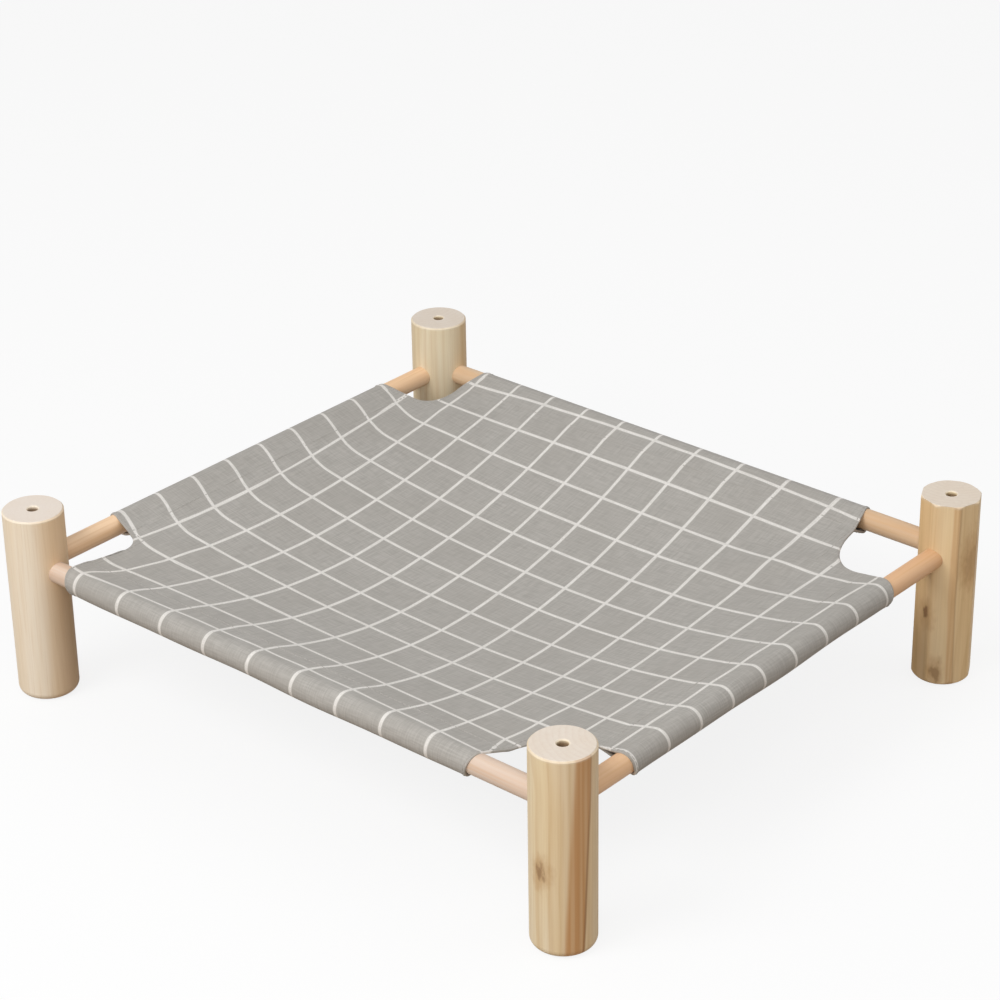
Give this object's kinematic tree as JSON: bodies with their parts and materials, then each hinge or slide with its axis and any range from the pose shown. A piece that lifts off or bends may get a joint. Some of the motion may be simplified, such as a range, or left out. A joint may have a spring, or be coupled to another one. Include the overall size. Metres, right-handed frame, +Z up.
{
  "type": "cat hammock",
  "caption": "Low raised cat hammock: round pine legs, dowel rails pushed into them, and a checked canvas sling with a sewn sleeve round each rail.",
  "frame": {"origin": "on the floor below the middle of the four legs", "axes": "+X along the longer rails, +Y from the front rail to the back rail, +Z up"},
  "size_m": [0.545, 0.485, 0.15],
  "materials": {
    "leg_wood": "sanded pine with an oiled look",
    "rail_wood": "smooth dowel",
    "canvas": "woven canvas with a pale windowpane check",
    "thread": "sewing thread"
  },
  "bodies": {
    "root": {"leg_front_right": "leg_wood", "leg_back_right": "leg_wood", "leg_back_left": "leg_wood", "leg_front_left": "leg_wood", "rail_front": "rail_wood", "rail_right": "rail_wood", "rail_back": "rail_wood", "rail_left": "rail_wood", "sleeve_front": "canvas", "sleeve_right": "canvas", "sleeve_back": "canvas", "sleeve_left": "canvas", "sling_panel": "canvas", "seam_thread_front": "thread", "seam_thread_right": "thread", "seam_thread_back": "thread", "seam_thread_left": "thread"}
  },
  "joints": []
}
